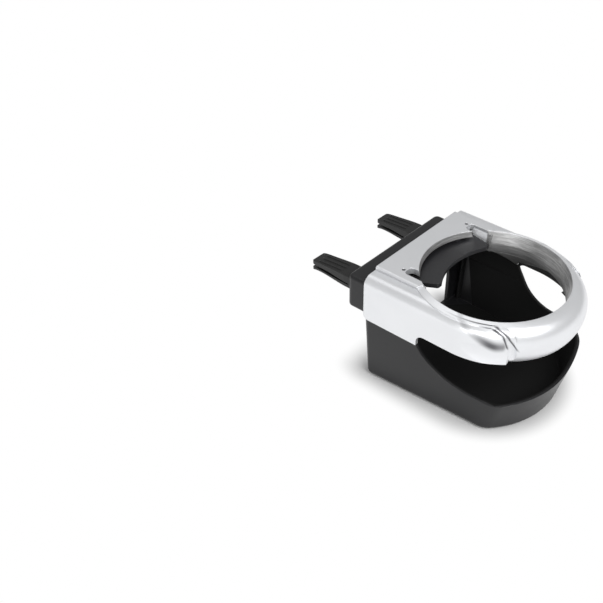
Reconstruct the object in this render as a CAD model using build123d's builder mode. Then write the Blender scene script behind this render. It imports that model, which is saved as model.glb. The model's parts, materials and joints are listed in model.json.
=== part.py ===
"""Vent-mounted car cup holder: ring cover, tray body, clip box, vent clips, sprung arm, sliding plate.

Frame: X across, nose at -Y, vent clips at +Y, Z up, origin on the cup axis on the underside of the base.
"""
import os
from math import cos, radians, sin, sqrt

from build123d import *

# Driving dimensions, millimetres
total_height = 64.0          # base underside to the crest of the ring
cover_half = 42.0            # half width of the cover
rear_face = 46.5             # rear end of the cover

# Silver cover
rim_margin = 5.0             # crest of the ring inside the cover's side
rim_bevel = 1.4              # how far the bevelled band narrows the hole
bevel_drop = 6.5             # height of that band
ring_wall_drop = 12.0        # height of the ring's inner wall at the front and sides
ring_wall = 1.8              # thickness of that wall
rear_lip = 3.3               # height of the ring's wall over the arm
apron_drop = 17.4            # the ring's wall reaches lower at the two sides
apron_front = 6.5
apron_rear = 19.5
nose_length = 3.0            # how far the cover's nose goes beyond a half circle
skirt_height = 26.0          # side skirts, from the crest down
band_height = 19.6           # cover over the openings, from the crest down
cover_wall = 2.0             # wall of the silver moulding
flat_margin = 8.6            # raised flat top inside the cover's side
flat_step = 1.9              # rise of the flat over the shoulder at the rear
shoulder_climb = 1.2         # how much the shoulder climbs from the rear to the crease
shoulder_round = 4.8         # rounding of the shoulder's outer edge
rim_slope = 3.2              # width of the rim's outer slope
rim_slope_drop = 1.3         # drop of that slope
band_margin = 9.7            # ends of the front band inside the cover's side
band_bulge = 4.2             # how far the front band stands out beyond a half circle
band_shift = 5.5             # axis of the front band ahead of the cup axis
band_tuck = 3.2              # how far the band draws in at its lower edge
band_crown = 1.0             # flat top of the band beyond the crest
band_brow = 0.3              # these three shape the band's section
band_swell = 3.2
band_belly = 10.0
band_thin = 1.0              # how much lower the hollow's belly sits
flat_edge_round = 0.9
arch_round = 4.0             # corner of the lower edge where the openings begin
left_arch_rear = 15.3
right_arch_rear = 8.0
skirt_corner_round = 3.0
crease_round = 2.2           # groove beside each end of the front band
crease_path = [(46.3, 2.0, 24.0), (46.8, 2.3, 16.0), (47.8, 2.9, 10.0), (49.7, 3.2, 5.5),
               (53.3, 1.9, 2.0), (58.5, -0.6, -0.4), (66.0, -4.6, -2.8)]   # degrees, beyond the side, drop
dimple_round = 20.0          # hollow under the shoulder's nose, beside the groove
dimple_path = [(84.0, 20.5, 12.0), (72.0, 20.5, 13.5), (60.0, 20.6, 14.5), (49.5, 20.8, 15.0)]
guide_wall = 1.6             # walls that guide the arm's sides
hold_rib = 1.5               # ribs that keep the arm down
hold_rib_inset = 5.4
peep_radius = 0.9            # small holes behind the ear slots
peep_offset = 1.6
slot_margin = 4.6            # ear slots inside the flat's edge
slot_width = 6.0
slot_inset = 13.0            # rear end of the ear slots ahead of the rear face
slot_round = 2.0

# Black tray body
body_draft = 3.0             # the body's sides lean in by this from the skirt to the base
side_draw = 0.052            # the sides also draw in towards the front
front_radius = 44.8          # round front at the base
front_centre = 5.3           # middle of that round, behind the cup axis
front_flare = 0.23           # how much the front widens with height
tray_corner_round = 10.0
tray_wall = 2.0
body_round = 3.5             # rounding of the base's edge
post_round = 2.5             # rounding of the rear corner posts
post_width = 9.0             # rear posts beside the rear opening
floor_top = 6.4              # top of the cup floor
lip_gap = 0.2                # clearance between the body's lip and the skirt
lip_wall = 1.9               # wall of that lip
rear_wall = 2.0
deck_drop = 8.6              # shelf that the arm slides on, below the crest
deck_thick = 2.0
deck_front = 19.0
rim_turn = 20.0              # where the side edges pass into the front rim, ahead of the cup axis
front_rim = [(-37.0, 19.4), (-20.0, 20.8), (0.0, 22.6), (13.0, 25.8),
             (21.5, 28.4), (29.0, 27.2), (37.0, 26.0)]
left_edge = [(14.5, 31.0), (3.0, 19.2)]
left_edge_end = (-17.0, 19.5)
left_opening_rear = 16.6     # rear end of the large opening on the -X side
window_edge = [(7.4, 44.2), (4.4, 38.9), (-0.6, 32.6), (-8.0, 27.9)]

# Clip box
box_margin = 5.0             # box inside the cover's side
box_drop = 9.5               # top of the box below the crest
box_height = 18.7
box_depth = 14.4             # box behind the cover's rear face
box_wall = 2.0
box_rear_wall = 3.5
pillar_half = 3.5            # half width of the pillar between the windows
window_margin = 3.6          # windows inside the box's end and top
window_height = 9.8
keeper_drop = 1.8            # slit over the bar that keeps the clip's head in
keeper_height = 1.6
entry_width = 8.7            # tall entry part of each window
box_corner_round = 3.0
box_edge_round = 1.8
box_screw_drops = [11.5, 5.5]

# Vent clips
clip_reach = 26.1            # jaw length behind the box
clip_head = 4.6              # head length inside the box
clip_head_width = 8.0
jaw_root_width = 11.0
jaw_tip_width = 8.6
jaw_root_length = 4.0        # straight part of the jaws' root
jaw_corner_round = 2.0
jaw_rise = 2.7               # underside of the jaws above the neck's
slit_start = 1.5             # front end of the slit between the jaws, behind the box
slit_bend = 3.0              # where the slit begins to widen
slit_drop = 8.3              # slit below the box's top
slit_width = 0.8
jaw_bend = 9.0               # where the jaws bend apart, from the tips
jaw_part = 0.6               # rise of the upper jaw over the slit there
upper_drop = 1.7             # the upper jaw slopes down to its tip
upper_tip = 1.9              # thickness of the upper jaw's tip
lower_drop = 0.5             # the lower jaw's tip curls down
lower_tip = 1.2              # thickness of the lower jaw's tip
lower_bow = 0.5              # hollow under the lower jaw
tip_slope = 0.2
jaw_tip_round = 1.0
fork_depth = 7.0             # gap between the lower jaw's prongs
fork_width = 2.6
left_clip_inset = 4.4        # where the clips stand, from the outer ends of the windows
right_clip_inset = 11.4
slide_gap = 0.3              # clearance of sliding faces

# Sprung arm; the insets are from the cover's rear face
arm_apex_inset = 22.9        # front of the arm on the centre line, at rest
arm_tip_inset = 28.6         # front of the arm's two ends
arm_tip_inner = 9.4          # where the concave edge ends, inside the ear slot's wall
arm_tip_outer = 6.6
arm_side_outer = 1.6
arm_rear_inset = 8.3
tongue_inset = 15.0          # side tongues that run along the guide walls
arm_thick = 2.4
arm_round = 1.2              # corners of the arm's ends
arm_pitch = 0.137            # the arm rises towards the cup
arm_level_inset = 24.5       # where its top is level with the passage
lug_width = 5.6              # lugs that the springs push on
lug_thick = 1.6
spring_notch = 3.6           # notches behind the lugs, for the springs
lug_height = 3.9
spigot_radius = 1.0
spigot_length = 1.6
spring_inset = 9.8           # springs inside the ear slot's wall
spring_wire = 0.5
spring_mean_radius = 1.7
spring_turns = 5

# Stabiliser plate
plate_width = 45.0
plate_length = 40.0
plate_thick = 3.0
plate_recess = 0.8
plate_lip = 2.0
plate_bottom = 1.5
plate_gap = 0.2
plate_corner_round = 4.0
plate_inset = 0.9            # rear edge of the plate inside the body's rear face
rail_lip = 2.2               # lips that carry the plate from below

# Screws
screw_shank = 2.2
screw_head = 4.2
screw_head_height = 1.5
screw_length = 6.2
boss_diameter = 5.6
screw_gap = 0.15
screw_drive = 0.7            # width of the cross drive's slots
screw_cross = 2.9            # length of those slots
bezel_screw_insets = [(8.4, 5.1), (6.8, 22.5)]   # from the cover's side and rear face

far = 60.0                   # beyond every outline, for cuts that go right through
over = 1.0                   # how far a cut passes the face it opens
near = 0.05                  # tolerance for picking an edge by its place

# Places that follow: cover
crest_radius = cover_half - rim_margin
throat_radius = crest_radius - rim_bevel
ring_outer = throat_radius + ring_wall
rim_slope_end = crest_radius + rim_slope
ring_wall_bottom = total_height - ring_wall_drop
skirt_bottom = total_height - skirt_height
band_bottom = total_height - band_height
band_half = cover_half - band_margin
band_radius = cover_half + band_bulge - band_shift
flat_half = cover_half - flat_margin
shoulder_rear = total_height - flat_step
cover_ceiling = shoulder_rear - cover_wall
cover_nose = cover_half + nose_length
passage_top = total_height - rear_lip
slot_outer = flat_half - slot_margin
slot_rear = rear_face - slot_inset
bezel_screw_points = [(s * (cover_half - x), rear_face - y) for x, y in bezel_screw_insets for s in (-1, 1)]

# Body
base_half = cover_half - body_draft
body_top = skirt_bottom - lip_gap
ledge = body_top - deck_thick
deck_top = total_height - deck_drop
lip_half = cover_half - cover_wall - lip_gap
wall_outer_y = rear_face - lip_gap
wall_inner_y = wall_outer_y - rear_wall
ring_clear = ring_outer + 2 * lip_gap
rear_opening_half = base_half - post_width

# Clip box and clips
box_half = cover_half - box_margin
box_top = total_height - box_drop
box_bottom = box_top - box_height
box_rear = rear_face + box_depth
window_outer = box_half - window_margin
window_top = box_top - window_margin
window_bottom = window_top - window_height
keeper_top = window_top - keeper_drop
keeper_bottom = keeper_top - keeper_height
entry_end = pillar_half + entry_width
left_clip_x = left_clip_inset - window_outer
right_clip_x = window_outer - right_clip_inset
slit_height = box_top - slit_drop
box_screw_heights = [box_top - drop for drop in box_screw_drops]

# Arm and springs
arm_bottom = deck_top + plate_gap
arm_rear = rear_face - arm_rear_inset
arm_level = passage_top - plate_gap
tongue_half = slot_outer - slide_gap
tongue_front = rear_face - tongue_inset
hold_rib_x = slot_outer - hold_rib_inset
spring_x = slot_outer - spring_inset
spring_height = arm_bottom + spring_mean_radius + spring_wire / 2 + plate_gap
lug_rear = arm_rear - spring_notch
spring_front = lug_rear + spring_wire / 2 + near
spring_pitch = (wall_inner_y - spring_wire / 2 - near - spring_front) / spring_turns
plate_rear = wall_outer_y - plate_inset


def arm_top(y):
    """Height of the arm's sloping top at a place along Y."""
    return arm_level + arm_pitch * (rear_face - arm_level_inset - y)


def u_outline(half, rear, nose):
    """Plan outline with straight sides and a round nose."""
    with BuildSketch(mode=Mode.PRIVATE) as outline:
        with BuildLine():
            side = Polyline((-half, half - nose), (-half, rear), (half, rear), (half, half - nose))
            ThreePointArc(side @ 1, (0, -nose), side @ 0)
        make_face()
    return outline.sketch


def tray_outline(half, rear, radius):
    """Plan outline of the tray: sides that draw in towards a broad round front."""
    axis_half = half - side_draw * rear_face
    lean = axis_half * side_draw - front_centre
    spread = 1 + side_draw**2
    corner_y = -(lean + sqrt(lean**2 - spread * (axis_half**2 + front_centre**2 - radius**2))) / spread
    corner_x = axis_half + side_draw * corner_y
    rear_x = axis_half + side_draw * rear
    with BuildSketch(mode=Mode.PRIVATE) as outline:
        with BuildLine():
            side = Polyline((-corner_x, corner_y), (-rear_x, rear), (rear_x, rear), (corner_x, corner_y))
            ThreePointArc(side @ 1, (0, front_centre - radius), side @ 0)
        make_face()
        fillet(outline.vertices().sort_by(Axis.Y)[0:2], radius=tray_corner_round)
    return outline.sketch


def groove(path, radius, side):
    """Round groove along a path given as degrees from the nose, distance beyond the side, drop."""
    reach = [(side * (cover_half + r) * sin(radians(a)), -(cover_half + r) * cos(radians(a)),
              total_height - d) for a, r, d in path]
    with BuildPart(mode=Mode.PRIVATE) as tool:
        with BuildLine():
            line = Spline(*reach)
        with BuildSketch(Plane(origin=line @ 0, z_dir=line % 0)):
            Circle(radius)
        sweep()
    return tool.part


os.makedirs("parts", exist_ok=True)

# Bulging front band of the cover, and the hollow behind it
with BuildPart() as front_band:
    with BuildSketch(Plane.XZ.offset(band_shift)):
        with BuildLine():
            band_top = Line((0, total_height), (crest_radius + band_crown - band_shift, total_height))
            bulge = Bezier(band_top @ 1, (band_radius - band_brow, total_height - band_brow / 2),
                           (band_radius + band_swell, total_height - band_belly),
                           (band_radius - band_tuck, band_bottom))
            Polyline(bulge @ 1, (0, band_bottom), band_top @ 0)
        make_face()
    revolve(axis=Axis((0, -band_shift, 0), (0, 0, -1)), revolution_arc=180)
    with BuildSketch(Plane.XY):
        Rectangle(2 * band_half, 2 * far)
    extrude(amount=total_height, mode=Mode.INTERSECT)

with BuildPart() as band_hollow:
    with BuildSketch(Plane.XZ.offset(band_shift)):
        with BuildLine():
            under_top = Line((0, cover_ceiling), (crest_radius + cover_wall - band_shift, cover_ceiling))
            inner_bulge = Bezier(under_top @ 1, (band_radius - band_brow - cover_wall, cover_ceiling),
                                 (band_radius + band_swell - cover_wall - band_thin,
                                  total_height - band_belly - band_thin),
                                 (band_radius - band_tuck - 2 * cover_wall, skirt_bottom))
            Polyline(inner_bulge @ 1, (0, skirt_bottom), under_top @ 0)
        make_face()
    revolve(axis=Axis((0, -band_shift, 0), (0, 0, -1)), revolution_arc=180)
    with BuildSketch(Plane.XY):
        Rectangle(2 * band_half, 2 * far)
    extrude(amount=total_height, mode=Mode.INTERSECT)
    with BuildSketch(Plane.XY):
        Circle(ring_outer)
    extrude(amount=total_height, mode=Mode.SUBTRACT)

# Deeper sides of the ring's inner wall
with BuildPart() as ring_apron:
    with BuildSketch(Plane.YZ.offset(-far)):
        with BuildLine():
            Polyline((apron_front, ring_wall_bottom + over), (apron_front, total_height - apron_drop),
                     (apron_rear, ring_wall_bottom), (apron_rear, ring_wall_bottom + over), close=True)
        make_face()
    extrude(amount=2 * far)
    with BuildSketch(Plane.XY):
        Circle(ring_outer)
        Circle(throat_radius, mode=Mode.SUBTRACT)
    extrude(amount=total_height, mode=Mode.INTERSECT)

# Silver ring cover
with BuildPart() as top_bezel:
    # skirt and shoulder
    with BuildSketch(Plane.XY.offset(skirt_bottom)):
        add(u_outline(cover_half, rear_face, cover_nose))
    extrude(amount=total_height - skirt_bottom)
    climb = shoulder_climb / (rear_face + cover_half)
    with BuildSketch(Plane.YZ.offset(-far)):
        with BuildLine():
            Polyline((rear_face + over, shoulder_rear - climb * over),
                     (rear_face + over, total_height + over), (-far, total_height + over),
                     (-far, shoulder_rear + climb * (rear_face + far)), close=True)
        make_face()
    extrude(amount=2 * far, mode=Mode.SUBTRACT)
    shoulder_edges = top_bezel.edges().filter_by(
        lambda e: e.center().Z > shoulder_rear - near and e.center().Y < rear_face - near)
    fillet(shoulder_edges, radius=shoulder_round)
    # raised flat
    with BuildSketch(Plane.XY.offset(cover_ceiling)):
        meet = sqrt(rim_slope_end**2 - flat_half**2)
        inner = crest_radius / rim_slope_end
        with BuildLine():
            Polyline((-flat_half, rear_face), (flat_half, rear_face), (flat_half, meet),
                     (flat_half * inner, meet * inner), (-flat_half * inner, meet * inner),
                     (-flat_half, meet), close=True)
        make_face()
    extrude(amount=total_height - cover_ceiling)
    flat_edges = top_bezel.edges().filter_by(Axis.Y).filter_by(
        lambda e: e.center().Z > total_height - near)
    fillet(flat_edges, radius=flat_edge_round)
    # hollow underside
    with BuildSketch(Plane.XY.offset(skirt_bottom)):
        add(u_outline(cover_half - cover_wall, rear_face + over, cover_nose - cover_wall))
    extrude(amount=cover_ceiling - skirt_bottom, mode=Mode.SUBTRACT)
    with BuildSketch(Plane.XY.offset(cover_ceiling)):
        with Locations((0, rear_face)):
            Rectangle(2 * (flat_half - cover_wall), 2 * (rear_face - crest_radius))
    extrude(amount=flat_step, mode=Mode.SUBTRACT)
    # room for the front band, then the rim slope and the inner ring wall
    with BuildSketch(Plane.XY):
        with Locations((0, -throat_radius / 2)):
            Rectangle(2 * band_half - cover_wall, far, align=(Align.CENTER, Align.MAX))
    extrude(amount=total_height + over, mode=Mode.SUBTRACT)
    with BuildSketch(Plane.XZ):
        with BuildLine():
            Polyline((throat_radius, ring_wall_bottom), (throat_radius, total_height),
                     (crest_radius, total_height), (rim_slope_end, total_height - rim_slope_drop),
                     (rim_slope_end, cover_ceiling),
                     (ring_outer, cover_ceiling), (ring_outer, ring_wall_bottom), close=True)
        make_face()
    revolve(axis=Axis.Z)
    add(front_band.part)
    # guide walls beside the arm, screw bosses, ribs that keep the arm down
    with BuildSketch(Plane.XY.offset(arm_bottom)):
        with Locations((slot_outer, slot_rear), (-slot_outer - guide_wall, slot_rear)):
            Rectangle(guide_wall, wall_inner_y - slide_gap - slot_rear, align=(Align.MIN, Align.MIN))
    extrude(amount=total_height - cover_wall / 2 - arm_bottom)
    with BuildSketch(Plane.XY.offset(deck_top)):
        with Locations(*bezel_screw_points):
            Circle(boss_diameter / 2)
            Circle(screw_shank / 2 + screw_gap / 2, mode=Mode.SUBTRACT)
    extrude(amount=cover_ceiling - deck_top)
    with BuildSketch(Plane.XY.offset(arm_top(tongue_front) + plate_gap)):
        with Locations((hold_rib_x, arm_rear), (-hold_rib_x - hold_rib, arm_rear)):
            Rectangle(hold_rib, wall_inner_y - slide_gap - arm_rear, align=(Align.MIN, Align.MIN))
    extrude(amount=total_height - cover_wall / 2 - arm_top(tongue_front) - plate_gap)
    # hole for the cup, with the bevelled band
    with BuildSketch(Plane.XZ):
        with BuildLine():
            Polyline((0, total_height + over), (crest_radius, total_height + over),
                     (crest_radius, total_height),
                     (throat_radius, total_height - bevel_drop), (throat_radius, skirt_bottom - over),
                     (0, skirt_bottom - over), close=True)
        make_face()
    revolve(axis=Axis.Z, mode=Mode.SUBTRACT)
    add(band_hollow.part, mode=Mode.SUBTRACT)
    with BuildSketch(Plane.XY.offset(skirt_bottom)):
        Circle(ring_outer)
    extrude(amount=ring_wall_bottom - skirt_bottom, mode=Mode.SUBTRACT)
    add(ring_apron.part)
    # passage for the arm under the rear of the ring, and the ear slots
    with BuildSketch(Plane.XY.offset(ring_wall_bottom - over)):
        Rectangle(2 * slot_outer, rear_face, align=(Align.CENTER, Align.MIN))
    extrude(amount=passage_top - ring_wall_bottom + over, mode=Mode.SUBTRACT)
    with BuildSketch(Plane.XY.offset(ring_wall_bottom - over)):
        with Locations((slot_outer - slot_width / 2, slot_rear), (slot_width / 2 - slot_outer, slot_rear)):
            RectangleRounded(slot_width, slot_rear, slot_round, align=(Align.CENTER, Align.MAX))
        with Locations((slot_outer - slot_width / 3, slot_rear + peep_offset),
                       (slot_width / 3 - slot_outer, slot_rear + peep_offset)):
            Circle(peep_radius)
    extrude(amount=ring_wall_drop + 2 * over, mode=Mode.SUBTRACT)
    # raised lower edge over the openings
    with BuildSketch(Plane.YZ):
        with BuildLine():
            FilletPolyline((-far, band_bottom), (right_arch_rear, band_bottom), (right_arch_rear, 0),
                           radius=arch_round)
            Polyline((right_arch_rear, 0), (-far, 0), (-far, band_bottom))
        make_face()
    extrude(amount=far, mode=Mode.SUBTRACT)
    with BuildSketch(Plane.YZ):
        with BuildLine():
            FilletPolyline((-far, band_bottom), (left_arch_rear, band_bottom), (left_arch_rear, 0),
                           radius=arch_round)
            Polyline((left_arch_rear, 0), (-far, 0), (-far, band_bottom))
        make_face()
    extrude(amount=-far, mode=Mode.SUBTRACT)
    # creases where the band meets the sides, with a hollow in each shoulder's nose
    for side in (-1, 1):
        add(groove(crease_path, crease_round, side), mode=Mode.SUBTRACT)
        add(groove(dimple_path, dimple_round, side), mode=Mode.SUBTRACT)
    # rounded lower rear corners of the skirts
    rear_corners = top_bezel.edges().filter_by(Axis.X).filter_by(
        lambda e: abs(e.center().Z - skirt_bottom) < near and abs(e.center().Y - rear_face) < near)
    fillet(rear_corners, radius=skirt_corner_round)

top_bezel.part.label = "top_bezel"
export_step(top_bezel.part, "parts/top_bezel.step")

# Black tray body
with BuildPart() as lower_body:
    # drafted walls, rear corner posts, rounded base
    with BuildSketch(Plane.XY):
        add(tray_outline(base_half, rear_face + post_round, front_radius))
    with BuildSketch(Plane.XY.offset(body_top)):
        add(tray_outline(cover_half, rear_face + post_round, front_radius + front_flare * body_top))
    loft(ruled=True)
    with BuildSketch(Plane.XY):
        with Locations((0, wall_outer_y)):
            Rectangle(2 * far, far, align=(Align.CENTER, Align.MIN))
    extrude(amount=total_height, mode=Mode.SUBTRACT)
    post_edges = lower_body.edges().filter_by(
        lambda e: abs(e.center().Y - wall_outer_y) < near and abs(e.center().X) > base_half / 2)
    fillet(post_edges, radius=post_round)
    fillet(lower_body.faces().sort_by(Axis.Z)[0].edges(), radius=body_round)
    # lip inside the silver skirt, up to the deck
    with BuildSketch(Plane.XY.offset(body_top)):
        add(u_outline(lip_half, wall_outer_y, lip_half))
    extrude(amount=deck_top - body_top)
    # inside of the tray
    floor_half = base_half + body_draft * floor_top / body_top - tray_wall
    ledge_half = base_half + body_draft * ledge / body_top - tray_wall
    with BuildSketch(Plane.XY.offset(floor_top)):
        add(tray_outline(floor_half, wall_inner_y, front_radius + front_flare * floor_top - tray_wall))
    with BuildSketch(Plane.XY.offset(ledge)):
        add(tray_outline(ledge_half, wall_inner_y, front_radius + front_flare * ledge - tray_wall))
    loft(ruled=True, mode=Mode.SUBTRACT)
    with BuildSketch(Plane.XY.offset(ledge)):
        add(u_outline(lip_half - lip_wall, wall_inner_y, lip_half - lip_wall))
    extrude(amount=deck_top - ledge, mode=Mode.SUBTRACT)
    # deck round the rear of the hole
    with BuildSketch(Plane.XY.offset(deck_top)):
        add(u_outline(lip_half, wall_outer_y, lip_half))
        Circle(ring_clear, mode=Mode.SUBTRACT)
        Rectangle(2 * (slot_outer - 2 * lip_gap), wall_inner_y, align=(Align.CENTER, Align.MIN))
        Circle(throat_radius, mode=Mode.SUBTRACT)
        with Locations((0, deck_front)):
            Rectangle(2 * far, 2 * far, align=(Align.CENTER, Align.MAX), mode=Mode.SUBTRACT)
    extrude(amount=-deck_thick)
    # rear wall above the deck, spring spigots
    with BuildSketch(Plane.XY.offset(deck_top)):
        with Locations((0, wall_inner_y)):
            Rectangle(2 * lip_half, rear_wall, align=(Align.CENTER, Align.MIN))
    extrude(amount=cover_ceiling - lip_gap - deck_top)
    with BuildSketch(Plane.XY.offset(deck_top)):
        with Locations((0, wall_inner_y)):
            Rectangle(2 * (flat_half - cover_wall - lip_gap), rear_wall, align=(Align.CENTER, Align.MIN))
    extrude(amount=total_height - cover_wall - lip_gap - deck_top)
    with BuildSketch(Plane.XZ.offset(-wall_inner_y)):
        with Locations((spring_x, spring_height), (-spring_x, spring_height)):
            Circle(spigot_radius)
    extrude(amount=spigot_length)
    # opening between the rear posts
    with BuildSketch(Plane.XZ.offset(-far)):
        with Locations((0, floor_top)):
            Rectangle(2 * rear_opening_half, box_bottom - floor_top, align=(Align.CENTER, Align.MIN))
    extrude(amount=far - wall_inner_y + over, mode=Mode.SUBTRACT)
    # low rim round the front, with the large opening on the -X side and the window on the +X side
    with BuildSketch(Plane.XZ.offset(rim_turn)):
        with BuildLine():
            rim = Spline(*front_rim)
            Polyline(rim @ 1, (far, front_rim[-1][1]), (far, far), (-far, far), (-far, front_rim[0][1]),
                     rim @ 0)
        make_face()
    extrude(amount=far, mode=Mode.SUBTRACT)
    with BuildSketch(Plane.YZ.offset(-base_half / 2)):
        with BuildLine():
            left_curve = Bezier((left_opening_rear, body_top), *left_edge, left_edge_end)
            Polyline(left_curve @ 1, (-rim_turn, front_rim[0][1]), (-rim_turn, far), (left_opening_rear, far),
                     left_curve @ 0)
        make_face()
    extrude(amount=-far, mode=Mode.SUBTRACT)
    with BuildSketch(Plane.YZ.offset(base_half / 2)):
        with BuildLine():
            right_curve = Spline((right_arch_rear, deck_top), *window_edge, (-rim_turn, front_rim[-1][1]))
            Polyline(right_curve @ 1, (-rim_turn, far), (right_arch_rear, far), right_curve @ 0)
        make_face()
    extrude(amount=far, mode=Mode.SUBTRACT)
    # channel for the stabiliser plate
    with BuildSketch(Plane.XY.offset(plate_bottom - plate_gap)):
        with Locations((0, plate_rear - plate_length - plate_gap)):
            Rectangle(plate_width + 2 * plate_gap, far, align=(Align.CENTER, Align.MIN))
    extrude(amount=plate_thick + 2 * plate_gap, mode=Mode.SUBTRACT)
    with BuildSketch(Plane.XY):
        with Locations((0, plate_rear - plate_length + rail_lip)):
            Rectangle(plate_width - 2 * rail_lip, far, align=(Align.CENTER, Align.MIN))
    extrude(amount=plate_bottom, mode=Mode.SUBTRACT)
    # screw holes
    with BuildSketch(Plane.XY.offset(deck_top)):
        with Locations(*bezel_screw_points):
            Circle(screw_shank / 2 + screw_gap)
    extrude(amount=-2 * deck_thick, mode=Mode.SUBTRACT)
    with BuildSketch(Plane.XZ.offset(-wall_outer_y)):
        with Locations(*[(0, h) for h in box_screw_heights]):
            Circle(screw_shank / 2 + screw_gap)
    extrude(amount=2 * rear_wall, mode=Mode.SUBTRACT)

lower_body.part.label = "lower_body"
export_step(lower_body.part, "parts/lower_body.step")

# Clip box behind the body
with BuildPart() as clip_box:
    with BuildSketch(Plane.XY.offset(box_bottom)):
        with Locations((0, wall_outer_y)):
            Rectangle(2 * box_half, box_rear - wall_outer_y, align=(Align.CENTER, Align.MIN))
    extrude(amount=box_top - box_bottom)
    fillet(clip_box.edges().filter_by(Axis.Z).sort_by(Axis.Y)[-2:], radius=box_corner_round)
    box_edges = clip_box.edges().filter_by(
        lambda e: min(abs(e.center().Z - box_top), abs(e.center().Z - box_bottom)) < near)
    fillet(box_edges.filter_by(lambda e: e.center().Y > wall_outer_y + near), radius=box_edge_round)
    # room for the clips' heads
    with BuildSketch(Plane.XZ.offset(-wall_outer_y)):
        with Locations(((box_half - box_wall + pillar_half) / 2, (box_bottom + box_top) / 2),
                       (-(box_half - box_wall + pillar_half) / 2, (box_bottom + box_top) / 2)):
            Rectangle(box_half - box_wall - pillar_half, box_top - box_bottom - 2 * box_wall)
    extrude(amount=-(box_rear - box_rear_wall - wall_outer_y), mode=Mode.SUBTRACT)
    # keyhole windows: tall entry by the pillar, low slot, and a slit that frees the keeper bar
    with BuildSketch(Plane.XZ.offset(-box_rear + box_rear_wall)):
        for side in (-1, 1):
            with BuildLine():
                Polyline((side * pillar_half, window_bottom), (side * window_outer, window_bottom),
                         (side * window_outer, keeper_bottom), (side * entry_end, keeper_bottom),
                         (side * entry_end, keeper_top), (side * window_outer, keeper_top),
                         (side * window_outer, window_top), (side * pillar_half, window_top), close=True)
            make_face()
    extrude(amount=-2 * box_rear_wall, mode=Mode.SUBTRACT)
    # pilot holes for the screws
    with BuildSketch(Plane.XZ.offset(-wall_outer_y)):
        with Locations(*[(0, h) for h in box_screw_heights]):
            Circle(screw_shank / 2 + screw_gap / 2)
    extrude(amount=-screw_length, mode=Mode.SUBTRACT)

clip_box.part.label = "clip_box"
export_step(clip_box.part, "parts/clip_box.step")


def clip_side():
    """Side outline of a vent clip, from the head in the box to the jaw tips."""
    head_rear = box_rear - box_rear_wall - slide_gap
    head_front = head_rear - clip_head
    root = box_rear + slide_gap
    bend = box_rear + clip_reach - jaw_bend
    tip = box_rear + clip_reach - jaw_tip_round
    low = window_bottom + slide_gap
    high = window_top - slide_gap
    neck = keeper_bottom - slide_gap
    upper_low = high - upper_drop - upper_tip
    lower_low = low + jaw_rise - lower_drop
    slit_top = slit_height + slit_width / 2
    slit_low = slit_height - slit_width / 2
    with BuildSketch(mode=Mode.PRIVATE) as outline:
        with BuildLine():
            top = Polyline((head_front, low), (head_front, high), (head_rear, high), (head_rear, neck),
                           (root, neck), (root, high), (root + jaw_root_length, high))
            upper = Spline(top @ 1, (bend, high - upper_drop / 2), (tip, high - upper_drop),
                           tangents=[(1, 0), (1, -tip_slope)])
            nose = ThreePointArc(upper @ 1, (tip + jaw_tip_round, upper_low + upper_tip / 2),
                                 (tip, upper_low))
            over_slit = Spline(nose @ 1, (bend, slit_top + jaw_part), (box_rear + slit_bend, slit_top),
                               tangents=[(-1, -tip_slope / 2), (-1, 0)])
            slit = Polyline(over_slit @ 1, (box_rear + slit_start, slit_top),
                            (box_rear + slit_start, slit_low), (box_rear + slit_bend, slit_low))
            under_slit = Spline(slit @ 1, (bend, slit_low - tip_slope), (tip, lower_low + lower_tip),
                                tangents=[(1, 0), (1, -2 * tip_slope)])
            end = ThreePointArc(under_slit @ 1, (tip + jaw_tip_round, lower_low + lower_tip / 2),
                                (tip, lower_low))
            lower = Spline(end @ 1, (bend, low + jaw_rise + lower_bow),
                           (root + jaw_root_length, low + jaw_rise), tangents=[(-1, 2 * tip_slope), (-1, 0)])
            Polyline(lower @ 1, (root, low + jaw_rise), (root, low), top @ 0)
        make_face()
    return outline.sketch


def clip_plan(centre):
    """Plan outline of a vent clip: narrow head, broad jaw root, tapered jaws."""
    head_rear = box_rear - box_rear_wall - slide_gap
    root = box_rear + slide_gap
    tip = box_rear + clip_reach
    with BuildSketch(mode=Mode.PRIVATE) as outline:
        with BuildLine():
            Polyline((centre - jaw_root_width / 2, root),
                     (centre - jaw_root_width / 2, root + jaw_root_length),
                     (centre - jaw_tip_width / 2, tip), (centre + jaw_tip_width / 2, tip),
                     (centre + jaw_root_width / 2, root + jaw_root_length),
                     (centre + jaw_root_width / 2, root), close=True)
        make_face()
        fillet(outline.vertices().sort_by(Axis.Y)[-2:], radius=jaw_corner_round)
        with Locations((centre, head_rear - clip_head)):
            Rectangle(clip_head_width, root - head_rear + clip_head, align=(Align.CENTER, Align.MIN))
    return outline.sketch


def clip_fork(centre):
    """Plan outline of the gap between the lower jaw's two prongs."""
    with BuildSketch(mode=Mode.PRIVATE) as outline:
        with Locations((centre, box_rear + clip_reach)):
            SlotOverall(2 * fork_depth, fork_width, rotation=90)
    return outline.sketch


# Vent clips, one on each side of the pillar
with BuildPart() as left_vent_clip:
    with BuildSketch(Plane.YZ.offset(left_clip_x - jaw_root_width / 2)):
        add(clip_side())
    extrude(amount=jaw_root_width)
    with BuildSketch(Plane.XY):
        add(clip_plan(left_clip_x))
    extrude(amount=total_height, mode=Mode.INTERSECT)
    with BuildSketch(Plane.XY.offset(slit_height)):
        add(clip_fork(left_clip_x))
    extrude(amount=-slit_height, mode=Mode.SUBTRACT)

left_vent_clip.part.label = "left_vent_clip"
export_step(left_vent_clip.part, "parts/left_vent_clip.step")

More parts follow.
